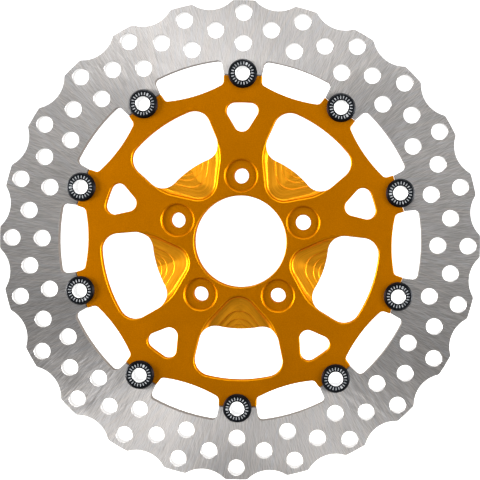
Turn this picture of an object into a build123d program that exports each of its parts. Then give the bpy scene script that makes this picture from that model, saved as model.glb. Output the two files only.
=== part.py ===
"""Floating brake disc: a waved and drilled ring, carried on a machined carrier by ten drive buttons."""

import os
from math import asin, cos, degrees, pi, radians, sin, tan

from build123d import *

# Lengths are millimetres and angles are degrees.
# The disc stands on edge. Its axis is Y, the outer face of the disc looks along -Y, and +Z is up.
# The carrier's mounting face, which bolts to the wheel hub, is the plane y = 0.
# Each "depth" below is a distance forward of that face, so depth d is the plane y = -d.

# Overall
disc_diameter = 300.0
hub_thickness = 9.0
ring_thickness = 5.0
front_depth = hub_thickness
ring_back_depth = front_depth - ring_thickness
top = 90.0

# Picking edges and corners
tolerance = 0.01
search_margin = 1.0

# Drive buttons: they sit on the joint between the ring's tabs and the carrier's tabs
button_count = 10
button_pitch = 360 / button_count
button_circle_radius = 104.6
button_flange_diameter = 18.0
button_flange_thickness = 1.8
button_barrel_diameter = 12.9
button_bore_diameter = 8.7
button_bevel_width = 1.3
button_bevel_height = 0.9
button_bore_break = 0.15
running_clearance = 0.06
seat_gap = 0.05
notch_radius = button_barrel_diameter / 2 + running_clearance

# Friction ring
wave_count = 24
wave_pitch = 360 / wave_count
scallop_radius = 19.6
scallop_bottom_radius = 144.87
lobe_corner_radius = 2.4
ring_inner_radius = 113.6
ring_tab_end_radius = 104.15
ring_tab_end_half_width = 11.65
ring_tab_flare = 11.0
ring_tab_overlap = 2.0
window_corner_radius = 3.2
drilled_hole_diameter = 10.2
ring_edge_break = 0.15

# Drilled rows: mean radius, and whether the row lies on the lobes or between them.
# Every third hole shares a radius, and the step between them makes the pads sweep the face evenly.
inner_row_radius = 123.2
middle_row_radius = 132.6
outer_row_radius = 142.0
row_step = 0.35
holes_per_step = 8

# Carrier
carrier_tab_end_radius = 103.5
carrier_tab_half_width = 11.9
rim_scallop_radius = 90.0
rim_scallop_bottom_radius = 94.9
rim_scallop_centre_radius = rim_scallop_bottom_radius + rim_scallop_radius
rim_disc_radius = 99.5
arm_count = 5
arm_pitch = 360 / arm_count
hub_boss_radius = 56.0
hub_bore_diameter = 57.8
carrier_edge_break = 0.4

# Hub bolts
bolt_circle_diameter = 82.55
bolt_hole_diameter = 9.5
bolt_seat_diameter = 19.3
bolt_seat_depth = 1.3
bolt_seat_bevel = 1.0

# Windows through the carrier all end on one circle
window_outer_radius = 87.2

# Rounded triangular windows, in line with the hub bolts
triangle_apex_radius = 63.9
triangle_half_angle = 31.4
triangle_corner_radius = 5.3

# Kidney windows between the arms
kidney_inner_radius = 55.3
kidney_half_width = 26.9
kidney_width_radius = 70.0
kidney_flare = 12.5
kidney_corner_radius = 10.3

# Scoops: shallow milled pockets that open into the hub side of each kidney window.
# A scoop is four nested cuts, each set further out and deeper than the last.
scoop_apex_radius = 33.8
scoop_nose_radius = 11.9
scoop_half_angle = 42.6
scoop_shoulder_radius = 25.0
scoop_shoulder_half_width = 23.45
scoop_side_flare = 7.0
scoop_mouth_radius = 66.0
scoop_floor_slope = 5.0
scoop_overrun = 1.0
# Each step: how far out it is set, its depth at the apex, the lean of its walls and its floor's corner radius
scoop_steps = [(0.0, 1.7, 38.0, 1.0), (8.5, 2.5, 25.0, 0.5), (13.2, 3.0, 25.0, 0.4), (16.4, 3.4, 25.0, 0.4)]

# Spring stack behind each button, in order from the tabs backwards
wave_washer_gap = 0.04
wave_washer_height = 1.1
wave_washer_strip = 0.3
wave_washer_width = 1.9
wave_washer_radius = 7.7
wave_washer_lobes = 3
wave_washer_sections = 8
flat_washer_thickness = 0.8
flat_washer_diameter = 18.0
flat_washer_bore = 13.1
retaining_ring_thickness = 0.8
retaining_ring_diameter = 15.6
groove_diameter = 11.9
groove_side_gap = 0.05
ring_gap_width = 3.0
ring_ear_size = 3.6
ring_ear_radius = 7.2
ring_ear_angle = 27.0
ring_ear_hole_diameter = 1.3
barrel_end_depth = 0.6

flange_underside_depth = front_depth + seat_gap
button_reach = flange_underside_depth + button_flange_thickness - barrel_end_depth
wave_washer_front_depth = ring_back_depth - wave_washer_gap
flat_washer_front_depth = wave_washer_front_depth - wave_washer_height
flat_washer_back_depth = flat_washer_front_depth - flat_washer_thickness
retaining_ring_back_depth = flat_washer_back_depth - retaining_ring_thickness
wave_amplitude = (wave_washer_height - wave_washer_strip) / 2
wave_centre_depth = wave_washer_front_depth - wave_washer_height / 2

os.makedirs("parts", exist_ok=True)


def finish_node(node, name):
    """Label a finished piece and write its STEP file."""
    node.part.label = name
    export_step(node.part, f"parts/{name}.step")


def front_view(depth):
    """A plane across the disc's axis, seen from the front, at a depth forward of the mounting face."""
    return Plane.XZ.offset(depth)


def button_view(index, depth):
    """As front_view, centred on one button, with its local x pointing away from the disc's axis."""
    angle = radians(top - index * button_pitch)
    outward = Vector(cos(angle), 0, sin(angle))
    centre = outward * button_circle_radius + Vector(0, -depth, 0)
    return Plane(origin=centre, x_dir=outward, z_dir=(0, -1, 0))


def edges_in_plane(node, depth):
    """The edges of a part that lie wholly in the plane at a depth."""
    return node.edges().filter_by_position(Axis.Y, -depth - tolerance, -depth + tolerance)


def circles_of_radius(node, radius):
    """The circular edges of a part that have one radius."""
    circles = node.edges().filter_by(GeomType.CIRCLE)
    return circles.filter_by(lambda e: abs(e.radius - radius) < tolerance)


def within_radius(vertex, radius):
    """Whether a sketch's vertex is nearer to the disc's axis than a radius."""
    return Vector(vertex.X, vertex.Y).length < radius


# Friction ring
drilled_rows = [
    (inner_row_radius, 0.0),
    (middle_row_radius, wave_pitch / 2),
    (outer_row_radius, 0.0),
]
scallop_centre_radius = scallop_bottom_radius + scallop_radius
tab_root_radius = ring_inner_radius + ring_tab_overlap
tab_length = tab_root_radius - ring_tab_end_radius
tab_root_half_width = ring_tab_end_half_width + tab_length * tan(radians(ring_tab_flare))

with BuildSketch() as ring_tab:
    with BuildLine():
        Polyline(
            (ring_tab_end_radius, -ring_tab_end_half_width),
            (tab_root_radius, -tab_root_half_width),
            (tab_root_radius, tab_root_half_width),
            (ring_tab_end_radius, ring_tab_end_half_width),
            close=True,
        )
    make_face()

with BuildPart() as brake_ring:
    with BuildSketch(front_view(ring_back_depth)) as ring_outline:
        Circle(disc_diameter / 2)
        with PolarLocations(scallop_centre_radius, wave_count, start_angle=top + wave_pitch / 2):
            Circle(scallop_radius, mode=Mode.SUBTRACT)
        fillet(ring_outline.vertices(), lobe_corner_radius)
        Circle(ring_inner_radius, mode=Mode.SUBTRACT)
        with PolarLocations(0, button_count, start_angle=top):
            add(ring_tab.sketch)
        inner_corners = ring_outline.vertices().filter_by(
            lambda v: within_radius(v, ring_inner_radius + search_margin)
        )
        window_corners = inner_corners.filter_by(
            lambda v: not within_radius(v, ring_inner_radius - search_margin)
        )
        fillet(window_corners, window_corner_radius)
        with PolarLocations(button_circle_radius, button_count, start_angle=top):
            Circle(notch_radius, mode=Mode.SUBTRACT)
        for row_radius, row_shift in drilled_rows:
            for phase, radius_step in enumerate((row_step, 0.0, -row_step)):
                hole_angle = top - row_shift - phase * wave_pitch
                with PolarLocations(row_radius + radius_step, holes_per_step, start_angle=hole_angle):
                    Circle(drilled_hole_diameter / 2, mode=Mode.SUBTRACT)
    extrude(amount=ring_thickness)
    chamfer(circles_of_radius(brake_ring, drilled_hole_diameter / 2), ring_edge_break)
finish_node(brake_ring, "brake_ring")


# Carrier
def side_angle(flare, side_offset, radius):
    """Angle from a window's centre line at which its straight side meets a circle about the disc's axis."""
    return flare + degrees(asin(side_offset / radius))


kidney_slope = radians(kidney_flare)
kidney_side_offset = kidney_half_width * cos(kidney_slope) - kidney_width_radius * sin(kidney_slope)
kidney_outer_angle = side_angle(kidney_flare, kidney_side_offset, window_outer_radius)
kidney_inner_angle = side_angle(kidney_flare, kidney_side_offset, kidney_inner_radius)

with BuildSketch() as kidney:
    with BuildLine():
        kidney_rim = CenterArc((0, 0), window_outer_radius, -kidney_outer_angle, 2 * kidney_outer_angle)
        kidney_root = CenterArc((0, 0), kidney_inner_radius, -kidney_inner_angle, 2 * kidney_inner_angle)
        Line(kidney_rim @ 0, kidney_root @ 0)
        Line(kidney_rim @ 1, kidney_root @ 1)
    make_face()
    fillet(kidney.vertices(), kidney_corner_radius)

triangle_side_offset = -triangle_apex_radius * sin(radians(triangle_half_angle))
triangle_outer_angle = side_angle(triangle_half_angle, triangle_side_offset, window_outer_radius)

with BuildSketch() as triangle:
    with BuildLine():
        triangle_rim = CenterArc((0, 0), window_outer_radius, -triangle_outer_angle, 2 * triangle_outer_angle)
        Line(triangle_rim @ 0, (triangle_apex_radius, 0))
        Line(triangle_rim @ 1, (triangle_apex_radius, 0))
    make_face()
    fillet(triangle.vertices(), triangle_corner_radius)

nose_centre_radius = scoop_apex_radius + scoop_nose_radius
nose_point_radius = nose_centre_radius - scoop_nose_radius / sin(radians(scoop_half_angle))
shoulder_radius = nose_point_radius + scoop_shoulder_half_width / tan(radians(scoop_half_angle))
mouth_length = scoop_mouth_radius - shoulder_radius
mouth_half_width = scoop_shoulder_half_width + mouth_length * tan(radians(scoop_side_flare))

with BuildSketch() as scoop_outline:
    with BuildLine():
        Polyline(
            (nose_point_radius, 0),
            (shoulder_radius, -scoop_shoulder_half_width),
            (scoop_mouth_radius, -mouth_half_width),
            (scoop_mouth_radius, mouth_half_width),
            (shoulder_radius, scoop_shoulder_half_width),
            close=True,
        )
    make_face()
    fillet(scoop_outline.vertices().group_by(Axis.X)[0], scoop_nose_radius)
    shoulders = scoop_outline.vertices().filter_by(lambda v: abs(v.X - shoulder_radius) < tolerance)
    fillet(shoulders, scoop_shoulder_radius)


def scoop_step(set_out, step_depth, wall_lean, floor_radius):
    """Cutter for one step of a scoop: the outline moved outward, over a floor that slopes.

    It lies on its back: z = 0 is the carrier's front face and +Z is into the metal.
    """
    slope = radians(scoop_floor_slope)
    floor_plane = Plane(origin=(scoop_apex_radius, 0, step_depth), z_dir=(-sin(slope), 0, cos(slope)))
    with BuildPart() as step:
        with BuildSketch() as step_outline:
            with Locations((set_out, 0)):
                add(scoop_outline.sketch)
        extrude(amount=hub_thickness, taper=wall_lean)
        extrude(step_outline.sketch, amount=-scoop_overrun)
        split(bisect_by=Plane.YZ.offset(scoop_mouth_radius), keep=Keep.BOTTOM)
        split(bisect_by=floor_plane, keep=Keep.BOTTOM)
        floor = step.faces().sort_by(Axis.Z)[-1]
        fillet(floor.edges().sort_by(Axis.X)[:-1], floor_radius)
    return step.part


scoop_cutters = [scoop_step(*step) for step in scoop_steps]
into_front_face = Plane(origin=(0, -front_depth, 0), x_dir=(1, 0, 0), z_dir=(0, 1, 0))

with BuildPart() as carrier:
    with BuildSketch(front_view(ring_back_depth)) as carrier_outline:
        Circle(rim_disc_radius)
        with PolarLocations(rim_scallop_centre_radius, button_count, start_angle=top + button_pitch / 2):
            Circle(rim_scallop_radius, mode=Mode.SUBTRACT)
        with PolarLocations(carrier_tab_end_radius / 2, button_count, start_angle=top):
            Rectangle(carrier_tab_end_radius, 2 * carrier_tab_half_width)
        tab_roots = carrier_outline.vertices().filter_by(
            lambda v: within_radius(v, carrier_tab_end_radius - search_margin)
        )
        fillet(tab_roots, window_corner_radius)
        with PolarLocations(button_circle_radius, button_count, start_angle=top):
            Circle(notch_radius, mode=Mode.SUBTRACT)
    extrude(amount=ring_thickness)
    with BuildSketch(front_view(0)):
        Circle(hub_boss_radius)
    extrude(amount=front_depth)
    with BuildSketch(front_view(0)):
        Circle(hub_bore_diameter / 2)
        with PolarLocations(bolt_circle_diameter / 2, arm_count, start_angle=top):
            Circle(bolt_hole_diameter / 2)
        with PolarLocations(0, arm_count, start_angle=top):
            add(triangle.sketch)
        with PolarLocations(0, arm_count, start_angle=top + arm_pitch / 2):
            add(kidney.sketch)
    extrude(amount=front_depth, mode=Mode.SUBTRACT)
    with Locations(into_front_face):
        with PolarLocations(0, arm_count, start_angle=-top + arm_pitch / 2):
            for cutter in scoop_cutters:
                add(cutter, mode=Mode.SUBTRACT)
    chamfer(edges_in_plane(carrier, front_depth), carrier_edge_break)
    chamfer(edges_in_plane(carrier, 0), carrier_edge_break)
    with BuildSketch(front_view(front_depth)):
        with PolarLocations(bolt_circle_diameter / 2, arm_count, start_angle=top):
            Circle(bolt_seat_diameter / 2)
    extrude(amount=-bolt_seat_depth, mode=Mode.SUBTRACT)
    with BuildSketch(into_front_face):
        with PolarLocations(bolt_circle_diameter / 2, arm_count, start_angle=-top):
            Circle(bolt_seat_diameter / 2 + bolt_seat_bevel)
    extrude(amount=bolt_seat_bevel, taper=45, mode=Mode.SUBTRACT)
finish_node(carrier, "carrier")


# Buttons and their spring stacks
# One wave of the washer's strip, lofted from crest to crest
with BuildPart() as washer_wave:
    for step in range(wave_washer_sections + 1):
        phase = 2 * pi * step / wave_washer_sections
        turn = phase / wave_washer_lobes
        radial = Vector(cos(turn), sin(turn), 0)
        strip_centre = radial * wave_washer_radius + Vector(0, 0, wave_amplitude * cos(phase))
        with BuildSketch(Plane(origin=strip_centre, x_dir=radial, z_dir=(-sin(turn), cos(turn), 0))):
            Rectangle(wave_washer_width, wave_washer_strip)
    loft()

for index in range(button_count):
    number = f"{index + 1:02d}"

    with BuildPart() as button:
        with BuildSketch(button_view(index, barrel_end_depth)):
            Circle(button_barrel_diameter / 2)
        extrude(amount=flange_underside_depth - barrel_end_depth)
        with BuildSketch(button_view(index, flange_underside_depth)):
            Circle(button_flange_diameter / 2)
        extrude(amount=button_flange_thickness)
        flange_rim = edges_in_plane(button, flange_underside_depth + button_flange_thickness)
        flange_face = button.faces().sort_by(Axis.Y)[0]
        chamfer(flange_rim, button_bevel_height, button_bevel_width, reference=flange_face)
        with BuildSketch(button_view(index, barrel_end_depth)):
            Circle(button_bore_diameter / 2)
        extrude(amount=button_reach, mode=Mode.SUBTRACT)
        with BuildSketch(button_view(index, retaining_ring_back_depth - groove_side_gap)):
            Circle(button_flange_diameter / 2)
            Circle(groove_diameter / 2, mode=Mode.SUBTRACT)
        extrude(amount=retaining_ring_thickness + 2 * groove_side_gap, mode=Mode.SUBTRACT)
        chamfer(circles_of_radius(button, button_bore_diameter / 2), button_bore_break)
    finish_node(button, f"button_{number}")

    with BuildPart() as wave_washer:
        with Locations(button_view(index, wave_centre_depth)):
            with PolarLocations(0, wave_washer_lobes):
                add(washer_wave.part)
    finish_node(wave_washer, f"wave_washer_{number}")

    with BuildPart() as flat_washer:
        with BuildSketch(button_view(index, flat_washer_back_depth)):
            Circle(flat_washer_diameter / 2)
            Circle(flat_washer_bore / 2, mode=Mode.SUBTRACT)
        extrude(amount=flat_washer_thickness)
    finish_node(flat_washer, f"flat_washer_{number}")

    with BuildPart() as retaining_ring:
        with BuildSketch(button_view(index, retaining_ring_back_depth)):
            Circle(retaining_ring_diameter / 2)
            with PolarLocations(ring_ear_radius, 2, -ring_ear_angle, 2 * ring_ear_angle, endpoint=True):
                Circle(ring_ear_size / 2)
                Circle(ring_ear_hole_diameter / 2, mode=Mode.SUBTRACT)
            Circle(groove_diameter / 2 + groove_side_gap, mode=Mode.SUBTRACT)
            with Locations((retaining_ring_diameter / 2, 0)):
                Rectangle(retaining_ring_diameter, ring_gap_width, mode=Mode.SUBTRACT)
        extrude(amount=retaining_ring_thickness)
    finish_node(retaining_ring, f"retaining_ring_{number}")
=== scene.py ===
# Looks for a floating motorcycle brake disc: a ground stainless ring on a gold anodised carrier,
# held by ten black drive buttons with their springs, washers and retaining rings
import math

import bpy
import numpy as np
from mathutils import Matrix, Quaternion, Vector


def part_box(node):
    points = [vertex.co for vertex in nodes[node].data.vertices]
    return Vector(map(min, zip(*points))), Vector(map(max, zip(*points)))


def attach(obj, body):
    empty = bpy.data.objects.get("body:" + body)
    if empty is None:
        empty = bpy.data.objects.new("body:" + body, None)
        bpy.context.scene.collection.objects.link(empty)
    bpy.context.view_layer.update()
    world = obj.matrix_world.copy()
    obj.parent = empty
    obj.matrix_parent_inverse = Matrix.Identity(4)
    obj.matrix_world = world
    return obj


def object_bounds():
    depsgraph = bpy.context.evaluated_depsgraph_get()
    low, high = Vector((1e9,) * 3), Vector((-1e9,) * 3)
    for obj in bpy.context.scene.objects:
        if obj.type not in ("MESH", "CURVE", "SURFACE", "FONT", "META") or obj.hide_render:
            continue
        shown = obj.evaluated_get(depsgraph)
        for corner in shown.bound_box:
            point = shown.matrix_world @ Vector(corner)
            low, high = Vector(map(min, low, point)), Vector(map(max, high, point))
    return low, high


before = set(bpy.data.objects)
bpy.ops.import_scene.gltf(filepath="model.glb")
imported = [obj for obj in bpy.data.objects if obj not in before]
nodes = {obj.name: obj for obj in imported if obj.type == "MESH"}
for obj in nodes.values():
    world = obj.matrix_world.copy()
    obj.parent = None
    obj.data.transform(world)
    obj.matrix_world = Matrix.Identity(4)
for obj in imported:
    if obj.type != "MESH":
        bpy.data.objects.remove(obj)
cadLow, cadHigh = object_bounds()
print("frame loaded:", len(nodes), "cad nodes")

mm = 0.001
toMm = 1000.0
ringFront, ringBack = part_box("brake_ring")[0].y * toMm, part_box("brake_ring")[1].y * toMm
carrierFront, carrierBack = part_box("carrier")[0].y * toMm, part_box("carrier")[1].y * toMm
floorHeight = cadLow.z
buttonNames = sorted(name for name in nodes if name.startswith("button_"))
buttonPitch = 2 * math.pi / len(buttonNames)
armPitch = 2 * buttonPitch                      # one arm of the carrier to every second button


def linear(hexColour):
    # sRGB to linear light: a straight line below the knee, a 2.4 power curve above it
    parts = [int(hexColour[i:i + 2], 16) / 255 for i in (1, 3, 5)]
    return tuple(p / 12.92 if p <= 0.04045 else ((p + 0.055) / 1.055) ** 2.4 for p in parts) + (1.0,)


def addNode(tree, kind, inputs=None, **settings):
    # one node of any kind: the settings go on the node, and each input gets a value or a link
    made = tree.nodes.new("ShaderNode" + kind)
    for name, value in settings.items():
        setattr(made, name, value)
    for name, value in (inputs or {}).items():
        if isinstance(value, bpy.types.Node):
            value = value.outputs[0]
        if isinstance(value, bpy.types.NodeSocket):
            tree.links.new(value, made.inputs[name])
        else:
            made.inputs[name].default_value = value
    return made


def newMaterial(name):
    # an empty material, its tree and its output node
    material = bpy.data.materials.new(name)
    material.use_nodes = True
    tree = material.node_tree
    tree.nodes.clear()
    return material, tree, addNode(tree, "OutputMaterial")


def placeInMm(tree):
    # a point's own place in the part, in mm
    return addNode(tree, "VectorMath", {0: addNode(tree, "TexCoord").outputs["Object"], "Scale": toMm},
                   operation="SCALE")


def roundAxle(tree, place):
    # where a point is round the axle: its place in the disc's plane, and its radius, angle and height
    flat = addNode(tree, "VectorMath", {0: place, 1: (1, 0, 1)}, operation="MULTIPLY")
    parts = addNode(tree, "SeparateXYZ", {0: place})
    return {
        "flat": flat,
        "radius": addNode(tree, "VectorMath", {0: flat}, operation="LENGTH").outputs["Value"],
        "angle": addNode(tree, "Math", {0: parts.outputs["X"], 1: parts.outputs["Z"]}, operation="ARCTAN2"),
        "height": parts.outputs["Y"],
    }


def faceDepth(tree, height, front, back):
    # how far a point lies below the nearer of two flat faces, in mm
    below = addNode(tree, "Math", {0: height, 1: front}, operation="SUBTRACT")
    above = addNode(tree, "Math", {0: back, 1: height}, operation="SUBTRACT")
    return addNode(tree, "Math", {0: below, 1: above}, operation="MINIMUM")


def foldedPlace(tree, spot, pitch, start, centreRadius):
    # folds the disc into one sector: coordinates out from and across the spot at centreRadius, in mm,
    # and the angle of the sector's own middle line
    turned = addNode(tree, "Math", {0: spot["angle"], 1: start}, operation="SUBTRACT")
    share = addNode(tree, "Math", {0: turned, 1: pitch}, operation="DIVIDE")
    sector = addNode(tree, "Math", {0: share}, operation="ROUND")
    middle = addNode(tree, "Math", {0: sector, 1: pitch, 2: start}, operation="MULTIPLY_ADD")
    local = addNode(tree, "Math", {0: spot["angle"], 1: middle}, operation="SUBTRACT")
    cosine = addNode(tree, "Math", {0: local}, operation="COSINE")
    sine = addNode(tree, "Math", {0: local}, operation="SINE")
    return {
        "outward": addNode(tree, "Math", {0: spot["radius"], 1: cosine, 2: -centreRadius},
                           operation="MULTIPLY_ADD"),
        "across": addNode(tree, "Math", {0: spot["radius"], 1: sine}, operation="MULTIPLY"),
        "middle": middle,
    }


# ground stainless steel: martensitic sheet, surface ground after hardening. Fine scratches run
# roughly radially and cross each other, so the top and bottom shine while the sides stay grey
stainless = {
    "face": "#DAD4CF",
    "faceCool": "#D0D0D2",
    "groove": "#A8A4A1",
    # painted shade: the windows' cut walls are painted a darker, browner grey than the ground face
    "wall": "#6E645B",
    "wallMetal": 0.3,            # the windows' cut walls hardly mirror
    "wallRoughness": 0.55,
    "paintedLightBore": "#F4F2F0",           # painted light: the drilled holes' walls are painted near white, as bright as the white behind the disc
    "boreRoughness": 0.22,
    "boreStart": 116.0,          # mm from the axle, inside the drilled rows
    "roughness": 0.36,
    "anisotropy": 0.85,
    "scratchRadius": 130.0,      # mm, where the widths below are true
    "scratchWidth": 0.5,         # mm, really under 0.1, drawn coarser so that it shows
    "scratchLength": 12.0,       # mm
    "scratchTilts": (9, -7),     # degrees off the radius, one for each pass of the grinder
    "strayTilt": 40,
    "strayWidth": 0.9,
    "strayLength": 40.0,
    "broadTilt": -18,
    "broadWidth": 1.6,
    "broadLength": 45.0,
    "swing": 0.8,                # how far the sheen's direction swings from line to line
    "grooveFrom": 0.15,          # how much of the two passes' noise counts as a groove
    "grooveTo": 0.34,
    "strayFrom": 0.64,
    "strayTo": 0.72,
    "strayStrength": 0.8,
    "cloudsPerMm": 0.035,        # wide patches a little darker and lighter
    "cloudDark": 0.92,
    "cloudLight": 1.06,
    "edgeBreak": 0.15,           # mm
    "edgeSoft": 0.1,             # mm over which one finish gives way to the next
    "bumpStrength": 0.25,
    "bumpDepth": 0.03 * mm,
}


def makeGroundStainless():
    s = stainless
    material, tree, output = newMaterial("stainless_steel_ground")
    place = placeInMm(tree)
    spot = roundAxle(tree, place)
    radius = spot["radius"]
    outward = addNode(tree, "VectorMath", {0: spot["flat"]}, operation="NORMALIZE")
    logRadius = addNode(tree, "Math", {0: radius, 1: math.e}, operation="LOGARITHM")

    def scratches(tilt, width, length):
        # noise drawn out along a spiral that leaves the radius by tilt degrees
        turn = addNode(tree, "Math", {0: logRadius, 1: math.tan(math.radians(tilt))}, operation="MULTIPLY")
        turned = addNode(tree, "VectorRotate", {"Vector": outward, "Axis": (0, 1, 0), "Angle": turn})
        around = addNode(tree, "VectorMath", {0: turned, "Scale": s["scratchRadius"] / width},
                         operation="SCALE")
        along = addNode(tree, "Math", {0: radius, 1: length}, operation="DIVIDE")
        lines = addNode(tree, "VectorMath", {0: around, 1: addNode(tree, "CombineXYZ", {"Y": along})},
                        operation="ADD")
        return addNode(tree, "TexNoise", {"Vector": lines, "Scale": 1.0, "Detail": 2.0, "Roughness": 0.7})

    first, second = (scratches(tilt, s["scratchWidth"], s["scratchLength"]) for tilt in s["scratchTilts"])
    stray = scratches(s["strayTilt"], s["strayWidth"], s["strayLength"])
    broad = scratches(s["broadTilt"], s["broadWidth"], s["broadLength"])
    both = addNode(tree, "Math", {0: first, 1: second}, operation="MULTIPLY")
    groove = addNode(tree, "MapRange", {"Value": both, "From Min": s["grooveFrom"],
                                        "From Max": s["grooveTo"]})
    strayLine = addNode(tree, "MapRange", {"Value": stray, "From Min": s["strayFrom"],
                                           "From Max": s["strayTo"], "To Max": s["strayStrength"]})
    cut = addNode(tree, "Math", {0: groove, 1: strayLine}, operation="MAXIMUM")
    patches = addNode(tree, "TexNoise", {"Vector": place, "Scale": s["cloudsPerMm"], "Detail": 2.0,
                                         "Roughness": 0.5})
    tint = addNode(tree, "MapRange", {"Value": broad, "From Min": 0.35, "From Max": 0.65})

    depth = faceDepth(tree, spot["height"], ringFront, ringBack)
    wall = addNode(tree, "MapRange", {"Value": depth, "From Min": s["edgeBreak"],
                                      "From Max": s["edgeBreak"] + s["edgeSoft"]})

    bare = addNode(tree, "Mix", {0: tint, 6: linear(s["face"]), 7: linear(s["faceCool"])}, data_type="RGBA")
    ground = addNode(tree, "Mix", {0: cut, 6: bare.outputs[2], 7: linear(s["groove"])}, data_type="RGBA")
    cloud = addNode(tree, "MapRange", {"Value": patches, "From Min": 0.3, "From Max": 0.7,
                                       "To Min": s["cloudDark"], "To Max": s["cloudLight"]})
    cloudy = addNode(tree, "HueSaturation", {"Color": ground.outputs[2], "Value": cloud})
    drilled = addNode(tree, "MapRange", {"Value": radius, "From Min": s["boreStart"],
                                         "From Max": s["boreStart"] + 0.5})
    # painted shade on the windows' cut walls, painted light on the drilled holes' walls
    wallShadeAndBoreLight = addNode(tree, "Mix", {0: drilled, 6: linear(s["wall"]), 7: linear(s["paintedLightBore"])},
                         data_type="RGBA")
    wallRough = addNode(tree, "MapRange", {"Value": drilled, "To Min": s["wallRoughness"],
                                           "To Max": s["boreRoughness"]})
    wallMetal = addNode(tree, "MapRange", {"Value": drilled, "To Min": s["wallMetal"], "To Max": 1.0})
    colour = addNode(tree, "Mix", {0: wall, 6: cloudy, 7: wallShadeAndBoreLight.outputs[2]}, data_type="RGBA")
    faceRough = addNode(tree, "MapRange", {"Value": cut, "To Min": s["roughness"] - 0.05,
                                           "To Max": s["roughness"] + 0.1})
    rough = addNode(tree, "Mix", {0: wall, 2: faceRough, 3: wallRough}, data_type="FLOAT")

    # the sheen's direction lies round the disc and swings with the two sets of scratches
    swing = addNode(tree, "Math", {0: first, 1: second}, operation="SUBTRACT")
    swingAngle = addNode(tree, "Math", {0: swing, 1: s["swing"]}, operation="MULTIPLY")
    roundDisc = addNode(tree, "Tangent", direction_type="RADIAL", axis="Y")
    grain = addNode(tree, "VectorRotate", {"Vector": roundDisc, "Axis": (0, 1, 0), "Angle": swingAngle})
    bump = addNode(tree, "Bump", {"Height": cut, "Strength": s["bumpStrength"], "Distance": s["bumpDepth"]})
    metal = addNode(tree, "Mix", {0: wall, 2: 1.0, 3: wallMetal}, data_type="FLOAT")
    shader = addNode(tree, "BsdfPrincipled", {
        "Base Color": colour.outputs[2], "Metallic": metal, "Roughness": rough,
        "Anisotropic": s["anisotropy"], "Tangent": grain, "Normal": bump})
    tree.links.new(shader.outputs[0], output.inputs["Surface"])
    return material


# gold anodised aluminium: bead blasted before dyeing, so the faces are matt with a fine grain,
# while the bolt seats and the scoops beside the bore were milled and keep their tool marks
gold = {
    "blasted": "#B96F00",
    "blastedDark": "#AC6500",
    "milled": "#EFA01E",
    "milledDark": "#D98C10",
    "grazing": "#E0A040",        # what the dyed skin mirrors at a glancing angle
    # painted highlight: the chamfers round the edges are painted a lighter gold than the face
    "edge": "#C8840A",
    "grainSize": 0.7,            # mm, really about 0.15, drawn coarser so that it shows
    "roughness": 0.52,
    "milledRoughness": 0.46,
    "anisotropy": 0.5,
    "edgeBreak": 0.4,            # mm
    "edgeSoft": 0.1,             # mm over which one finish gives way to the next
    "seatDepth": 1.3,            # mm
    "markPitch": 1.1,            # mm, really about 0.3, drawn coarser so that it shows
    "scoopCentre": 45.7,         # mm from the axle to the middle of a scoop's round nose
    "scoopSide": 42.6,           # degrees from the scoop's middle line to its straight sides
    "scoopStart": 36.0,          # degrees from the top to the first scoop
    "streaksPerMm": 1.8,         # across the tool marks
    "streaksAlongPerMm": 0.06,
    "markStrength": 0.25,
    "cloudsPerMm": 0.05,         # wide patches a little darker and lighter
    "cloudDark": 0.96,
    "cloudLight": 1.04,
    "grainTurns": 40.0,          # radians that the sheen turns from the darkest grain to the lightest
    "bumpStrength": 0.22,
    "bumpDepth": 0.06 * mm,
}


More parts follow.
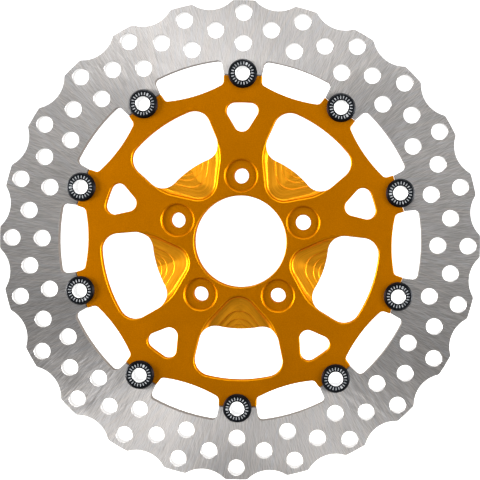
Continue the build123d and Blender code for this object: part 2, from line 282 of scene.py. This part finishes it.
def makeGoldAnodised():
    g = gold
    material, tree, output = newMaterial("aluminium_gold_anodised_blasted")
    place = placeInMm(tree)
    spot = roundAxle(tree, place)
    depth = faceDepth(tree, spot["height"], carrierFront, carrierBack)

    # tool marks follow the scoop's outline: lines at one distance from its two sides and its nose
    folded = foldedPlace(tree, spot, armPitch, math.radians(g["scoopStart"]), g["scoopCentre"])
    outward, across, middle = folded["outward"], folded["across"], folded["middle"]
    side = math.radians(g["scoopSide"])
    spread = addNode(tree, "Math", {0: across}, operation="ABSOLUTE")
    spreadOff = addNode(tree, "Math", {0: spread, 1: math.cos(side)}, operation="MULTIPLY")
    spreadAlong = addNode(tree, "Math", {0: spread, 1: math.sin(side)}, operation="MULTIPLY")
    offLine = addNode(tree, "Math", {0: outward, 1: -math.sin(side), 2: spreadOff},
                      operation="MULTIPLY_ADD")
    alongLine = addNode(tree, "Math", {0: outward, 1: math.cos(side), 2: spreadAlong},
                        operation="MULTIPLY_ADD")
    beforeNose = addNode(tree, "Math", {0: alongLine, 1: 0.0}, operation="MINIMUM")
    nearest = addNode(tree, "CombineXYZ", {"X": offLine, "Y": beforeNose})
    fromNose = addNode(tree, "VectorMath", {0: nearest}, operation="LENGTH").outputs["Value"]
    turns = addNode(tree, "Math", {0: fromNose, 1: 2 * math.pi / g["markPitch"]}, operation="MULTIPLY")
    wave = addNode(tree, "Math", {0: turns}, operation="SINE")
    streakPlace = addNode(tree, "CombineXYZ", {
        "X": addNode(tree, "Math", {0: fromNose, 1: g["streaksPerMm"]}, operation="MULTIPLY"),
        "Y": addNode(tree, "Math", {0: alongLine, 1: g["streaksAlongPerMm"]}, operation="MULTIPLY"),
        "Z": middle})
    streaks = addNode(tree, "TexNoise", {"Vector": streakPlace, "Scale": 1.0, "Detail": 2.0,
                                         "Roughness": 0.6})

    # the sheen in a scoop spreads across its tool marks
    halfTurn = addNode(tree, "Math", {0: across}, operation="SIGN")
    steep = addNode(tree, "Math", {0: beforeNose, 1: offLine}, operation="ARCTAN2")
    lean = addNode(tree, "Math", {0: math.pi / 2 + side, 1: steep}, operation="SUBTRACT")
    leanSide = addNode(tree, "Math", {0: lean, 1: halfTurn}, operation="MULTIPLY")
    markAngle = addNode(tree, "Math", {0: middle, 1: leanSide}, operation="ADD")

    grains = addNode(tree, "TexNoise", {"Vector": place, "Scale": 1 / g["grainSize"], "Detail": 2.0,
                                        "Roughness": 0.6})
    patches = addNode(tree, "TexNoise", {"Vector": place, "Scale": g["cloudsPerMm"], "Detail": 1.0})
    # a blasted face has no grain direction, so its sheen turns at random from one grain to the next
    anyAngle = addNode(tree, "Math", {0: grains, 1: g["grainTurns"]}, operation="MULTIPLY")

    milled = addNode(tree, "MapRange", {"Value": depth, "From Min": g["seatDepth"] + 0.05,
                                        "From Max": g["seatDepth"] + 0.15})
    edge = addNode(tree, "MapRange", {"Value": depth, "From Min": 0.02, "From Max": g["edgeSoft"]})
    pastEdge = addNode(tree, "MapRange", {"Value": depth, "From Min": g["edgeBreak"],
                                          "From Max": g["edgeBreak"] + g["edgeSoft"],
                                          "To Min": 1.0, "To Max": 0.0})
    chamferHighlightAndGloss = addNode(tree, "Math", {0: edge, 1: pastEdge}, operation="MULTIPLY")

    speck = addNode(tree, "MapRange", {"Value": grains, "From Min": 0.35, "From Max": 0.65})
    blasted = addNode(tree, "Mix", {0: speck, 6: linear(g["blastedDark"]), 7: linear(g["blasted"])},
                      data_type="RGBA")
    cloud = addNode(tree, "MapRange", {"Value": patches, "From Min": 0.3, "From Max": 0.7,
                                       "To Min": g["cloudDark"], "To Max": g["cloudLight"]})
    shade = addNode(tree, "HueSaturation", {"Color": blasted.outputs[2], "Value": cloud})
    cutTone = addNode(tree, "MapRange", {"Value": streaks, "From Min": 0.35, "From Max": 0.65})
    scoop = addNode(tree, "Mix", {0: cutTone, 6: linear(g["milledDark"]), 7: linear(g["milled"])},
                    data_type="RGBA")
    faces = addNode(tree, "Mix", {0: milled, 6: shade, 7: scoop.outputs[2]}, data_type="RGBA")
    # painted highlight on the chamfers
    colour = addNode(tree, "Mix", {0: chamferHighlightAndGloss, 6: faces.outputs[2], 7: linear(g["edge"])},
                     data_type="RGBA")

    smooth = addNode(tree, "Math", {0: milled, 1: chamferHighlightAndGloss}, operation="MAXIMUM")
    rough = addNode(tree, "MapRange", {"Value": smooth, "To Min": g["roughness"],
                                       "To Max": g["milledRoughness"]})
    sheenAngle = addNode(tree, "Mix", {0: milled, 2: anyAngle, 3: markAngle}, data_type="FLOAT")
    grainDirection = addNode(tree, "VectorRotate", {"Vector": (0, 0, 1), "Axis": (0, 1, 0),
                                                    "Angle": sheenAngle})
    inWorld = addNode(tree, "VectorTransform", {0: grainDirection}, vector_type="VECTOR",
                      convert_from="OBJECT", convert_to="WORLD")
    marks = addNode(tree, "Math", {0: wave, 1: g["markStrength"], 2: streaks}, operation="MULTIPLY_ADD")
    relief = addNode(tree, "Mix", {0: milled, 2: grains, 3: marks}, data_type="FLOAT")
    bump = addNode(tree, "Bump", {"Height": relief, "Strength": g["bumpStrength"],
                                  "Distance": g["bumpDepth"]})
    shader = addNode(tree, "BsdfPrincipled", {
        "Base Color": colour.outputs[2], "Metallic": 1.0, "Roughness": rough,
        "Specular Tint": linear(g["grazing"]), "Anisotropic": g["anisotropy"], "Tangent": inWorld,
        "Normal": bump})
    tree.links.new(shader.outputs[0], output.inputs["Surface"])
    return material


# black anodised aluminium: turned on a lathe and dyed, near black with a satin sheen, with faint
# rings round its own bore
black = {
    "face": "#24282D",
    "faceDark": "#181B1F",
    "paintedLightBore": "#FFFFFF",           # painted light: the bore is painted pure white, as bright as the white behind the disc
    "roughness": 0.34,
    "anisotropy": 0.5,
    "centreRadius": 104.6,       # mm from the axle to a button's middle
    "boreRadius": 4.35,          # mm
    "ringPitch": 0.9,            # mm, really about 0.1, drawn coarser so that it shows
    "unevenPerMm": 3.0,
    "bumpStrength": 0.15,
    "bumpDepth": 0.02 * mm,
}


def makeBlackAnodised():
    b = black
    material, tree, output = newMaterial("aluminium_black_anodised_turned")
    place = placeInMm(tree)
    folded = foldedPlace(tree, roundAxle(tree, place), buttonPitch, 0.0, b["centreRadius"])
    onFace = addNode(tree, "CombineXYZ", {"X": folded["outward"], "Y": folded["across"]})
    fromMiddle = addNode(tree, "VectorMath", {0: onFace}, operation="LENGTH").outputs["Value"]
    turns = addNode(tree, "Math", {0: fromMiddle, 1: 2 * math.pi / b["ringPitch"]}, operation="MULTIPLY")
    rings = addNode(tree, "Math", {0: turns}, operation="SINE")
    acrossRings = addNode(tree, "Math", {0: fromMiddle, 1: b["unevenPerMm"]}, operation="MULTIPLY")
    uneven = addNode(tree, "TexNoise", {"Vector": addNode(tree, "CombineXYZ", {"X": acrossRings}),
                                        "Scale": 1.0, "Detail": 2.0})
    specks = addNode(tree, "TexNoise", {"Vector": place, "Scale": 2.0, "Detail": 2.0})
    tone = addNode(tree, "Math", {0: uneven, 1: specks}, operation="MULTIPLY")
    toned = addNode(tree, "MapRange", {"Value": tone, "From Min": 0.12, "From Max": 0.4})
    turned = addNode(tree, "Mix", {0: toned, 6: linear(b["faceDark"]), 7: linear(b["face"])},
                     data_type="RGBA")
    # painted light: the bore is painted pure white
    boreLightMask = addNode(tree, "MapRange", {"Value": fromMiddle, "From Min": b["boreRadius"] + 0.05,
                                        "From Max": b["boreRadius"] + 0.3, "To Min": 1.0, "To Max": 0.0})
    colour = addNode(tree, "Mix", {0: boreLightMask, 6: turned.outputs[2], 7: linear(b["paintedLightBore"])},
                     data_type="RGBA")
    bump = addNode(tree, "Bump", {"Height": rings, "Strength": b["bumpStrength"],
                                  "Distance": b["bumpDepth"]})
    rough = addNode(tree, "MapRange", {"Value": uneven, "From Min": 0.3, "From Max": 0.7,
                                       "To Min": b["roughness"] - 0.05, "To Max": b["roughness"] + 0.08})
    roundButton = addNode(tree, "Tangent", direction_type="RADIAL", axis="Y")
    shader = addNode(tree, "BsdfPrincipled", {
        "Base Color": colour.outputs[2], "Metallic": 1.0, "Roughness": rough,
        "Anisotropic": b["anisotropy"], "Anisotropic Rotation": 0.25, "Tangent": roundButton,
        "Normal": bump})
    tree.links.new(shader.outputs[0], output.inputs["Surface"])
    return material


# spring steel: rolled strip, hardened and oiled, a bluish grey with a soft shine
spring = {"light": "#9CA0A6", "dark": "#6E7278", "roughness": 0.3, "streakWidth": 0.8}


def makeSpringSteel():
    material, tree, output = newMaterial("spring_steel_rolled")
    place = placeInMm(tree)
    drawnOut = addNode(tree, "VectorMath", {0: place, 1: (0.08, 1.0, 1.0 / spring["streakWidth"])},
                       operation="MULTIPLY")
    streaks = addNode(tree, "TexNoise", {"Vector": drawnOut, "Scale": 1.0, "Detail": 3.0,
                                         "Roughness": 0.6})
    tone = addNode(tree, "MapRange", {"Value": streaks, "From Min": 0.3, "From Max": 0.7})
    colour = addNode(tree, "Mix", {0: tone, 6: linear(spring["dark"]), 7: linear(spring["light"])},
                     data_type="RGBA")
    rough = addNode(tree, "MapRange", {"Value": tone, "To Min": spring["roughness"] + 0.08,
                                       "To Max": spring["roughness"]})
    bump = addNode(tree, "Bump", {"Height": streaks, "Strength": 0.2, "Distance": 0.00003})
    shader = addNode(tree, "BsdfPrincipled", {"Base Color": colour.outputs[2], "Metallic": 1.0,
                                              "Roughness": rough, "Normal": bump})
    tree.links.new(shader.outputs[0], output.inputs["Surface"])
    return material


# zinc plated steel: barrel plated after punching, pale and slightly cloudy with a faint blue cast
zinc = {"light": "#C9CED2", "dark": "#A4A9AD", "roughness": 0.32, "cloudSize": 3.0}


def makeZincPlate():
    material, tree, output = newMaterial("steel_zinc_plated")
    place = placeInMm(tree)
    clouds = addNode(tree, "TexNoise", {"Vector": place, "Scale": 1 / zinc["cloudSize"], "Detail": 4.0,
                                        "Roughness": 0.6})
    tone = addNode(tree, "MapRange", {"Value": clouds, "From Min": 0.35, "From Max": 0.65})
    colour = addNode(tree, "Mix", {0: tone, 6: linear(zinc["dark"]), 7: linear(zinc["light"])},
                     data_type="RGBA")
    rough = addNode(tree, "MapRange", {"Value": tone, "To Min": zinc["roughness"] + 0.12,
                                       "To Max": zinc["roughness"]})
    bump = addNode(tree, "Bump", {"Height": clouds, "Strength": 0.1, "Distance": 0.00005})
    shader = addNode(tree, "BsdfPrincipled", {"Base Color": colour.outputs[2], "Metallic": 1.0,
                                              "Roughness": rough, "Normal": bump})
    tree.links.new(shader.outputs[0], output.inputs["Surface"])
    return material


# epoxy ink, pad printed: flat grey-white, thin enough at its edges to let some black through
ink = {"light": "#A6A8AB", "thin": "#74787C", "roughness": 0.6, "blotchSize": 0.7}


def makePrintInk():
    material, tree, output = newMaterial("epoxy_ink_pad_printed")
    place = placeInMm(tree)
    blotches = addNode(tree, "TexNoise", {"Vector": place, "Scale": 1 / ink["blotchSize"], "Detail": 3.0})
    cover = addNode(tree, "MapRange", {"Value": blotches, "From Min": 0.38, "From Max": 0.55})
    colour = addNode(tree, "Mix", {0: cover, 6: linear(ink["thin"]), 7: linear(ink["light"])},
                     data_type="RGBA")
    rough = addNode(tree, "MapRange", {"Value": cover, "To Min": ink["roughness"] - 0.1,
                                       "To Max": ink["roughness"]})
    bump = addNode(tree, "Bump", {"Height": blotches, "Strength": 0.1, "Distance": 0.00002})
    shader = addNode(tree, "BsdfPrincipled", {"Base Color": colour.outputs[2], "Roughness": rough,
                                              "Normal": bump})
    tree.links.new(shader.outputs[0], output.inputs["Surface"])
    return material


springFinish = makeSpringSteel()
finishes = {
    "brake_ring": makeGroundStainless(),
    "carrier": makeGoldAnodised(),
    "button_": makeBlackAnodised(),
    "wave_washer_": springFinish,
    "retaining_ring_": springFinish,
    "flat_washer_": makeZincPlate(),
}
for name, node in nodes.items():
    finish = next(finishes[start] for start in finishes if name.startswith(start))
    for slot in node.material_slots:
        slot.material = finish
print("finishes on", len(nodes), "cad nodes")

# a printed ring of plain index bars on each button's face
bars = {
    "count": 22,
    "innerRadius": 5.35 * mm,
    "outerRadius": 7.15 * mm,
    "width": 0.5 * mm,
    "indexWidth": 1.2 * mm,      # one bar is wider, and shows how far the button has turned
    "corner": 0.2 * mm,
    "thickness": 0.05 * mm,
    "sunk": 0.02 * mm,
    "cornerPoints": 3,
    "firstTurn": 0.4,            # radians: no two buttons were fitted at the same angle
    "turnStep": 2.1,
}


def barOutline(width):
    # one bar round the origin: a rectangle, whose corners are quarter circles of a few points
    halves = np.array([width / 2, (bars["outerRadius"] - bars["innerRadius"]) / 2]) - bars["corner"]
    sweep = np.linspace(0, np.pi / 2, bars["cornerPoints"])
    angles = (np.arange(4)[:, None] * np.pi / 2 + sweep).ravel()
    signs = np.repeat([[1, 1], [-1, 1], [-1, -1], [1, -1]], bars["cornerPoints"], axis=0)
    return signs * halves + bars["corner"] * np.stack([np.cos(angles), np.sin(angles)], axis=1)


def printedBars(name, centre, faceHeight, turn):
    # bars set round the centre at equal angles: each outline moved out to the middle radius, turned
    # about the centre, and closed between the sunk and the raised level
    count, middleRadius = bars["count"], (bars["innerRadius"] + bars["outerRadius"]) / 2
    plain, index = barOutline(bars["width"]), barOutline(bars["indexWidth"])
    outlines = np.stack([index] + [plain] * (count - 1)) + [0, middleRadius]
    angles = turn + np.arange(count)[:, None] * 2 * np.pi / count
    x = centre[0] + outlines[..., 0] * np.cos(angles) + outlines[..., 1] * np.sin(angles)
    z = centre[1] - outlines[..., 0] * np.sin(angles) + outlines[..., 1] * np.cos(angles)
    levels = np.array([faceHeight + bars["sunk"], faceHeight - bars["thickness"]])
    points = np.stack(np.broadcast_arrays(x[:, None], levels[:, None], z[:, None]), axis=-1)
    around = plain.shape[0]
    start = (np.arange(count) * 2 * around)[:, None]
    step = np.arange(around)
    following = (step + 1) % around
    sides = np.stack([start + step, start + following, start + around + following, start + around + step],
                     axis=-1).reshape(-1, 4)
    back, front = start + step[::-1], start + around + step
    mesh = bpy.data.meshes.new(name)
    mesh.from_pydata(points.reshape(-1, 3), [], sides.tolist() + back.tolist() + front.tolist())
    mesh.validate()
    piece = bpy.data.objects.new(name, mesh)
    bpy.context.scene.collection.objects.link(piece)
    return piece


printFinish = makePrintInk()
for index, buttonName in enumerate(buttonNames):
    low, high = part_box(buttonName)
    middle = (low + high) / 2
    number = buttonName.split("_")[-1]
    turn = index * bars["turnStep"] + bars["firstTurn"]
    piece = printedBars("index_print_" + number, (middle.x, middle.z), low.y, turn)
    piece.data.materials.append(printFinish)
    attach(piece, "drive_button_" + number)
print("index bars printed on", len(buttonNames), "buttons")

# studio: a pale floor, a white surround that only the camera sees, and three soft lights
studio = {
    "floorColour": "#F4F4F2",
    "floorGlow": 0.95,
    "floorRadius": 4.5,
    "surroundRadius": 5.0,
    "ambient": 0.46,
    "ambientBelow": 0.3,
    "ambientBehind": 0.95,
    "lights": {
        "left": {"place": (-1.7, -0.6, 0.02), "size": (0.5, 1.0), "power": 66.0},
        "right": {"place": (1.5, -0.7, 0.0), "size": (0.6, 0.9), "power": 42.0},
        "top": {"place": (0.0, -0.55, 1.1), "size": (1.4, 0.5), "power": 12.0},
    },
}


def makePlain(name, colour, glow):
    # flat paint for the studio: a matt colour with some light of its own
    material, tree, output = newMaterial(name)
    shader = addNode(tree, "BsdfPrincipled", {"Base Color": linear(colour), "Roughness": 0.9,
                                              "Emission Color": linear(colour), "Emission Strength": glow})
    tree.links.new(shader.outputs[0], output.inputs["Surface"])
    return material


def surface(name, points, material):
    # a grid of points turned into quads and staged
    rows, columns = points.shape[:2]
    corner = (np.arange(rows - 1)[:, None] * columns + np.arange(columns - 1)).ravel()
    quads = np.stack([corner, corner + 1, corner + columns + 1, corner + columns], axis=1)
    mesh = bpy.data.meshes.new(name)
    mesh.from_pydata(points.reshape(-1, 3), [], quads.tolist())
    mesh.materials.append(material)
    made = bpy.data.objects.new(name, mesh)
    bpy.context.scene.collection.objects.link(made)
    for ray in ("visible_diffuse", "visible_glossy", "visible_transmission", "visible_shadow"):
        setattr(made, ray, False)


around = np.linspace(0, 2 * np.pi, 65)
outwards = np.array([1e-4, 0.25, 1.0, studio["floorRadius"]])[:, None]
floorPoints = np.stack(np.broadcast_arrays(
    outwards * np.cos(around), outwards * np.sin(around), floorHeight), axis=-1)
surface("studio_floor", floorPoints, makePlain("paint_floor", studio["floorColour"], studio["floorGlow"]))
up = np.linspace(0.001, np.pi - 0.001, 33)[:, None]
surroundPoints = studio["surroundRadius"] * np.stack(np.broadcast_arrays(
    np.sin(up) * np.cos(around), np.sin(up) * np.sin(around), np.cos(up)), axis=-1)
surface("studio_surround", surroundPoints, makePlain("paint_surround", "#FFFFFF", 1.0))

# light from all round: dim below, plain above and in front, bright behind the disc as on a light table
world = bpy.data.worlds.new("studio")
world.use_nodes = True
worldTree = world.node_tree
worldTree.nodes.clear()
direction = addNode(worldTree, "SeparateXYZ", {0: addNode(worldTree, "TexCoord").outputs["Generated"]})
strength = addNode(worldTree, "MapRange", {
    "Value": direction.outputs["Z"], "From Min": -0.5, "From Max": 0.1,
    "To Min": studio["ambientBelow"], "To Max": studio["ambient"]})
behind = addNode(worldTree, "MapRange", {
    "Value": direction.outputs["Y"], "From Min": 0.05, "From Max": 0.25,
    "To Min": 0.0, "To Max": studio["ambientBehind"]})
brighter = addNode(worldTree, "Math", {0: strength, 1: behind}, operation="MAXIMUM")
sky = addNode(worldTree, "Background", {"Color": (1, 1, 1, 1), "Strength": brighter})
addNode(worldTree, "OutputWorld", {"Surface": sky})
bpy.context.scene.world = world

discMiddle = Vector((0, (cadLow.y + cadHigh.y) / 2, 0))
for name, light in studio["lights"].items():
    lamp = bpy.data.lights.new("light_" + name, "AREA")
    lamp.shape = "RECTANGLE"
    lamp.size, lamp.size_y = light["size"]
    lamp.energy = light["power"]
    made = bpy.data.objects.new("light_" + name, lamp)
    made.location = light["place"]
    made.rotation_euler = (discMiddle - made.location).to_track_quat("-Z", "Y").to_euler()
    made.visible_camera = False
    bpy.context.scene.collection.objects.link(made)
print("studio set")

# camera: in front of the disc and a little to its right, with a shifted lens that keeps the disc round
view = {
    "distance": 0.52,
    "right": 0.05,
    "up": 0.023,
    "shiftRight": -0.166,
    "shiftUp": -0.02,
    "width": 0.2997,             # metres seen across at the disc's face
    "aimRight": -0.0001,
    "aimUp": 0.0021,
    "discTurn": 1.1,             # degrees clockwise that the disc looks turned
    "sensor": 36.0,
}
lens = bpy.data.cameras.new("camera")
camera = bpy.data.objects.new("camera", lens)
camera.location = (view["right"], -view["distance"], view["up"])
aim = Vector((view["aimRight"] - view["shiftRight"] * view["width"], ringFront * mm,
              view["aimUp"] - view["shiftUp"] * view["width"]))
forward = aim - camera.location
camera.rotation_mode = "QUATERNION"
roll = Quaternion(forward, -math.radians(view["discTurn"]))
camera.rotation_quaternion = roll @ forward.to_track_quat("-Z", "Y")
lens.sensor_width = view["sensor"]
lens.lens = view["sensor"] * forward.length / view["width"]
lens.shift_x, lens.shift_y = view["shiftRight"], view["shiftUp"]
bpy.context.scene.collection.objects.link(camera)
bpy.context.scene.camera = camera
bpy.context.scene.view_settings.view_transform = "Standard"
print("camera set")
